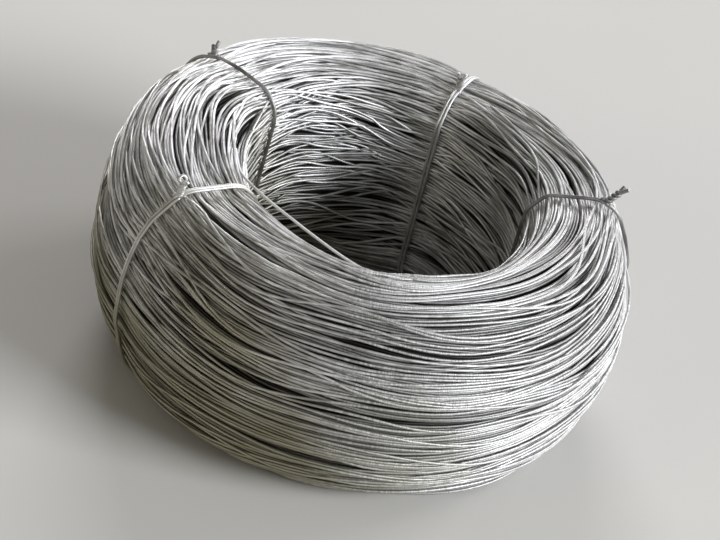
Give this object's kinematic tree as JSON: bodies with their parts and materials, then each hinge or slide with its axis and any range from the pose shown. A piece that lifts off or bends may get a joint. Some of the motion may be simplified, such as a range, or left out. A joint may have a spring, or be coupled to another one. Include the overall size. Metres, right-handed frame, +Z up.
{
  "type": "coil of binding wire",
  "caption": "Coil of bright steel binding wire with an open round bore and rounded shoulders, held by twisted wire ties, for tying reinforcement.",
  "frame": {"origin": "centre of the coil's footprint, on the plane of its lower end", "axes": "+Z up along the axis of the bore; +X to the right and +Y to the back as the picture shows the coil"},
  "size_m": [0.3084, 0.3084, 0.1477],
  "materials": {
    "wire": "drawn and thinly galvanised, bright silver-grey with duller stretches",
    "tie_wire": "drawn and thinly galvanised, duller grey from handling"
  },
  "bodies": {
    "root": {"wire_coil": "wire", "tie_rear_right": "tie_wire", "tie_rear_left": "tie_wire", "tie_left": "tie_wire", "tie_right": "tie_wire"}
  },
  "joints": []
}
